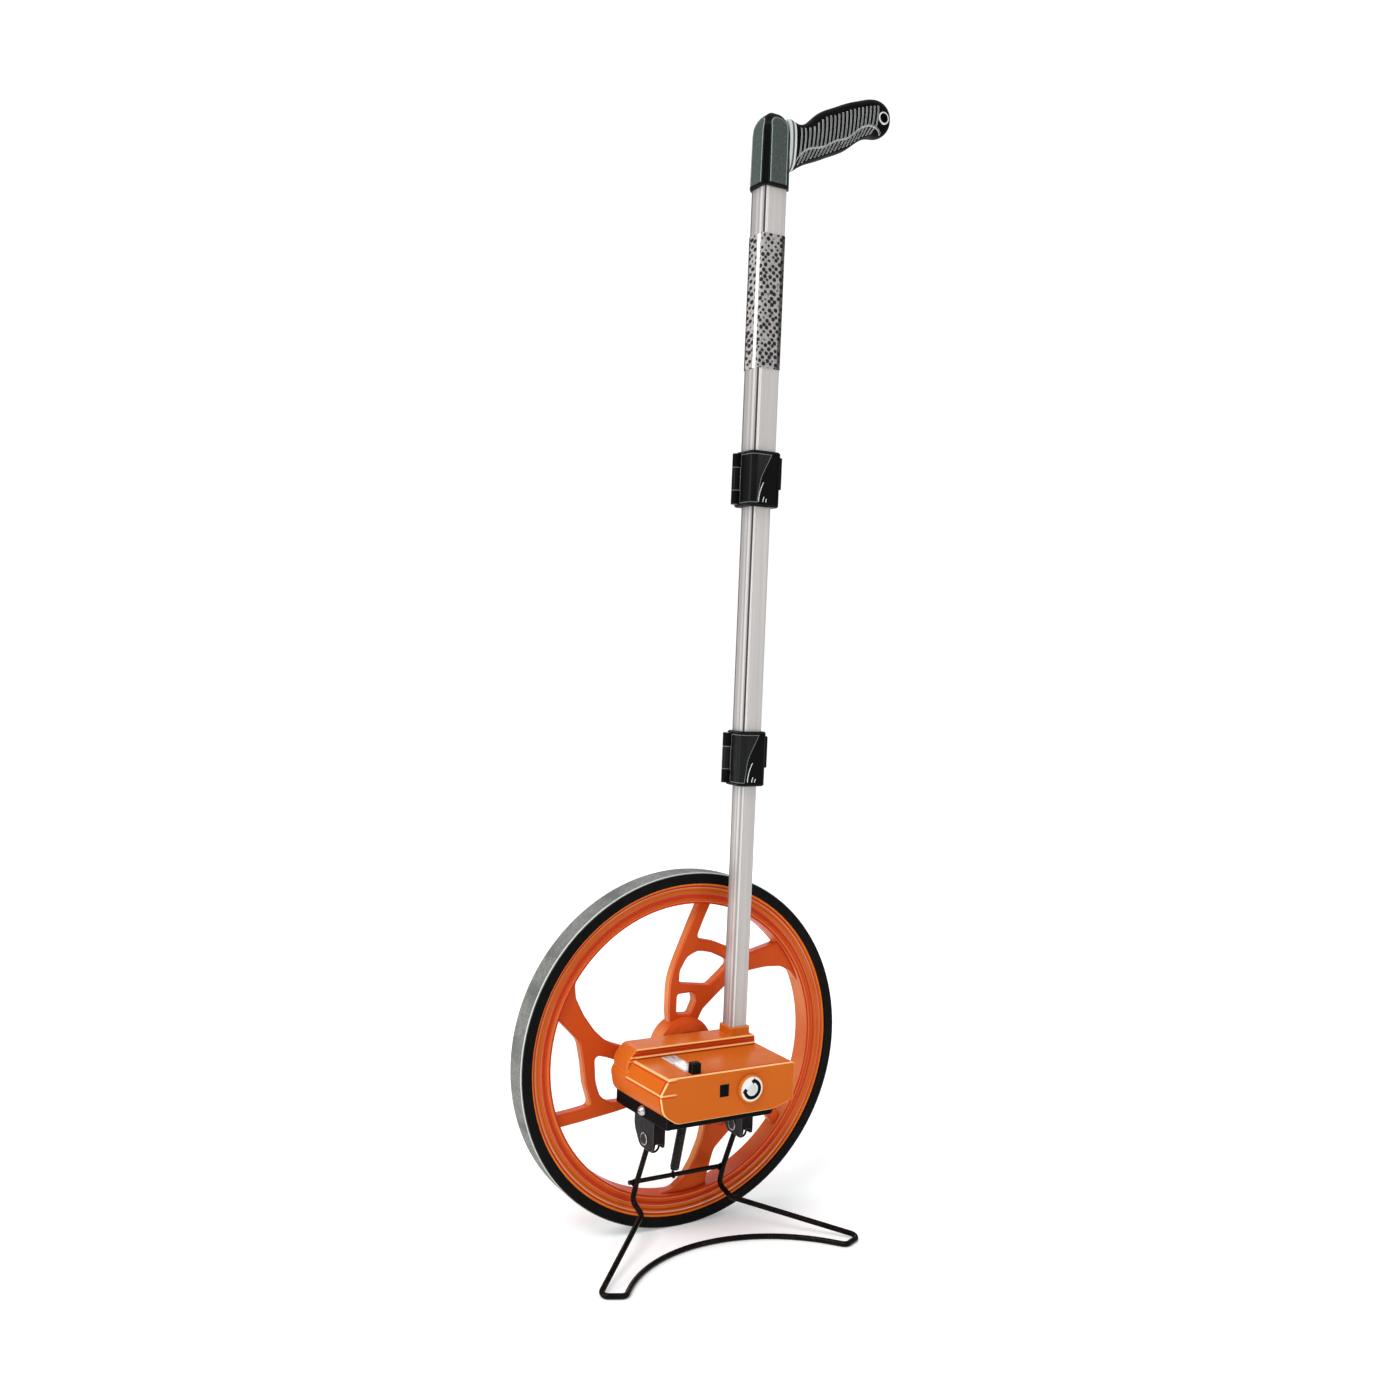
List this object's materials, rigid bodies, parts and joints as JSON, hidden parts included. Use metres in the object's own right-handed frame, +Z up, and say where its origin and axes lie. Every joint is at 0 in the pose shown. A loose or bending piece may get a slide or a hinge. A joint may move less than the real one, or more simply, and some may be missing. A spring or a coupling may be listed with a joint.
{
  "type": "measuring wheel",
  "caption": "Walk-behind measuring wheel: spoked one-metre wheel, counter box, fold-down wire stand, telescopic square pole with clamps, pistol grip.",
  "frame": {"origin": "the point on the floor under the middle of the tyre, where the wheel touches the ground", "axes": "+Z up; +X the way the grip points, towards the person; -Y the side with the counter box and stand"},
  "size_m": [0.3184, 0.1341, 1.0186],
  "materials": {
    "orange_plastic": "moulded, satin gloss",
    "black_plastic": "moulded, gloss black",
    "grey_plastic": "fine textured grey",
    "core_plastic": "light grey grip core",
    "white_plastic": "plain white",
    "gear_plastic": "natural acetal",
    "guide_plastic": "slippery black guide",
    "tyre_rubber": "plain tread, matt",
    "grip_rubber": "ribbed black",
    "grip_tape": "mottled non-slip tape",
    "tube_aluminium": "satin anodised",
    "steel": "plain bright",
    "stand_steel": "black gloss coat",
    "clear_window": "clear moulded lens"
  },
  "bodies": {
    "chassis": {"counter_housing": "orange_plastic", "base_plate": "black_plastic", "base_screws": "steel", "side_screw": "steel", "axle": "steel", "axle_nut": "steel", "axle_washers": "steel", "axle_clip": "steel", "counter_frame": "steel", "counter_shaft": "steel", "idler_pin": "steel", "counter_window": "clear_window", "reset_mark": "black_plastic", "stand_bracket_left": "stand_steel", "stand_bracket_right": "stand_steel", "stand_pivot_pins": "stand_steel", "spring_anchor": "stand_steel", "stand_spring": "stand_steel", "lower_tube": "tube_aluminium", "tube_pin": "steel", "lower_tube_bush": "guide_plastic"},
    "wheel": {"wheel_rim": "orange_plastic", "tyre": "tyre_rubber", "hub_bushes": "gear_plastic", "hub_cap": "black_plastic", "drive_gear": "gear_plastic"},
    "idler": {"idler_gear": "gear_plastic"},
    "first_counter": {"counter_gear": "gear_plastic", "number_wheel_1": "white_plastic"},
    "second_counter": {"number_wheel_2": "white_plastic"},
    "third_counter": {"number_wheel_3": "white_plastic"},
    "fourth_counter": {"number_wheel_4": "white_plastic"},
    "fifth_counter": {"number_wheel_5": "white_plastic"},
    "knob": {"reset_knob": "orange_plastic", "knob_face": "white_plastic"},
    "button": {"hold_button": "black_plastic"},
    "stand": {"stand_wire": "stand_steel", "stand_crossbar": "stand_steel"},
    "middle_section": {"middle_tube": "tube_aluminium", "middle_tube_bush": "guide_plastic", "lower_clamp_collar": "black_plastic", "lower_clamp_pin": "steel", "lower_clamp_screw": "steel"},
    "lower_lever": {"lower_clamp_lever": "black_plastic"},
    "upper_section": {"upper_tube": "tube_aluminium", "upper_clamp_collar": "black_plastic", "upper_clamp_pin": "steel", "upper_clamp_screw": "steel", "grip_tape": "grip_tape", "head_cap": "black_plastic", "head_panels": "grey_plastic", "cap_screw": "steel", "grip_core": "core_plastic", "grip_sleeve": "grip_rubber", "lanyard_eyelet": "core_plastic"},
    "upper_lever": {"upper_clamp_lever": "black_plastic"}
  },
  "joints": [
    {"name": "wheel_spin", "type": "hinge", "parent": "chassis", "child": "wheel", "pos_m": [0, 0, 0.15915], "axis": [0, 1, 0], "continuous": true},
    {"name": "idler_spin", "type": "hinge", "parent": "chassis", "child": "idler", "pos_m": [-0.01699, 0, 0.14212], "axis": [0, 1, 0], "continuous": true},
    {"name": "first_counter_spin", "type": "hinge", "parent": "chassis", "child": "first_counter", "pos_m": [-0.0385, 0, 0.1529], "axis": [0, 1, 0], "continuous": true},
    {"name": "second_counter_spin", "type": "hinge", "parent": "chassis", "child": "second_counter", "pos_m": [-0.0385, 0, 0.1529], "axis": [0, 1, 0], "continuous": true},
    {"name": "third_counter_spin", "type": "hinge", "parent": "chassis", "child": "third_counter", "pos_m": [-0.0385, 0, 0.1529], "axis": [0, 1, 0], "continuous": true},
    {"name": "fourth_counter_spin", "type": "hinge", "parent": "chassis", "child": "fourth_counter", "pos_m": [-0.0385, 0, 0.1529], "axis": [0, 1, 0], "continuous": true},
    {"name": "fifth_counter_spin", "type": "hinge", "parent": "chassis", "child": "fifth_counter", "pos_m": [-0.0385, 0, 0.1529], "axis": [0, 1, 0], "continuous": true},
    {"name": "reset_turn", "type": "hinge", "parent": "chassis", "child": "knob", "pos_m": [0.0109, -0.102, 0.1507], "axis": [0, 1, 0], "continuous": true},
    {"name": "hold_press", "type": "slide", "parent": "chassis", "child": "button", "axis": [0, 0, -1], "range_m": [0, 0.003], "stiffness_N_per_m": 300, "springref_m": -0.003},
    {"name": "stand_fold", "type": "hinge", "parent": "chassis", "child": "stand", "pos_m": [-0.0055, -0.04, 0.097], "axis": [-1, 0, 0], "range_deg": [0, 90], "deforming": ["stand_spring"]},
    {"name": "middle_slide", "type": "slide", "parent": "chassis", "child": "middle_section", "axis": [0, 0, -1], "range_m": [0, 0.205]},
    {"name": "upper_slide", "type": "slide", "parent": "middle_section", "child": "upper_section", "axis": [0, 0, -1], "range_m": [0, 0.19]},
    {"name": "lower_lever_swing", "type": "hinge", "parent": "middle_section", "child": "lower_lever", "pos_m": [0.0206, -0.0255, 0.422], "axis": [0, 0, -1], "range_deg": [0, 90]},
    {"name": "upper_lever_swing", "type": "hinge", "parent": "upper_section", "child": "upper_lever", "pos_m": [0.01885, -0.0255, 0.666], "axis": [0, 0, -1], "range_deg": [0, 90]}
  ],
  "couplings": [
    {"joint": "idler_spin", "follows": "wheel_spin", "ratio": -1},
    {"joint": "first_counter_spin", "follows": "wheel_spin", "ratio": 1},
    {"joint": "second_counter_spin", "follows": "wheel_spin", "ratio": 0.1},
    {"joint": "third_counter_spin", "follows": "wheel_spin", "ratio": 0.01},
    {"joint": "fourth_counter_spin", "follows": "wheel_spin", "ratio": 0.001},
    {"joint": "fifth_counter_spin", "follows": "wheel_spin", "ratio": 0.0001}
  ]
}
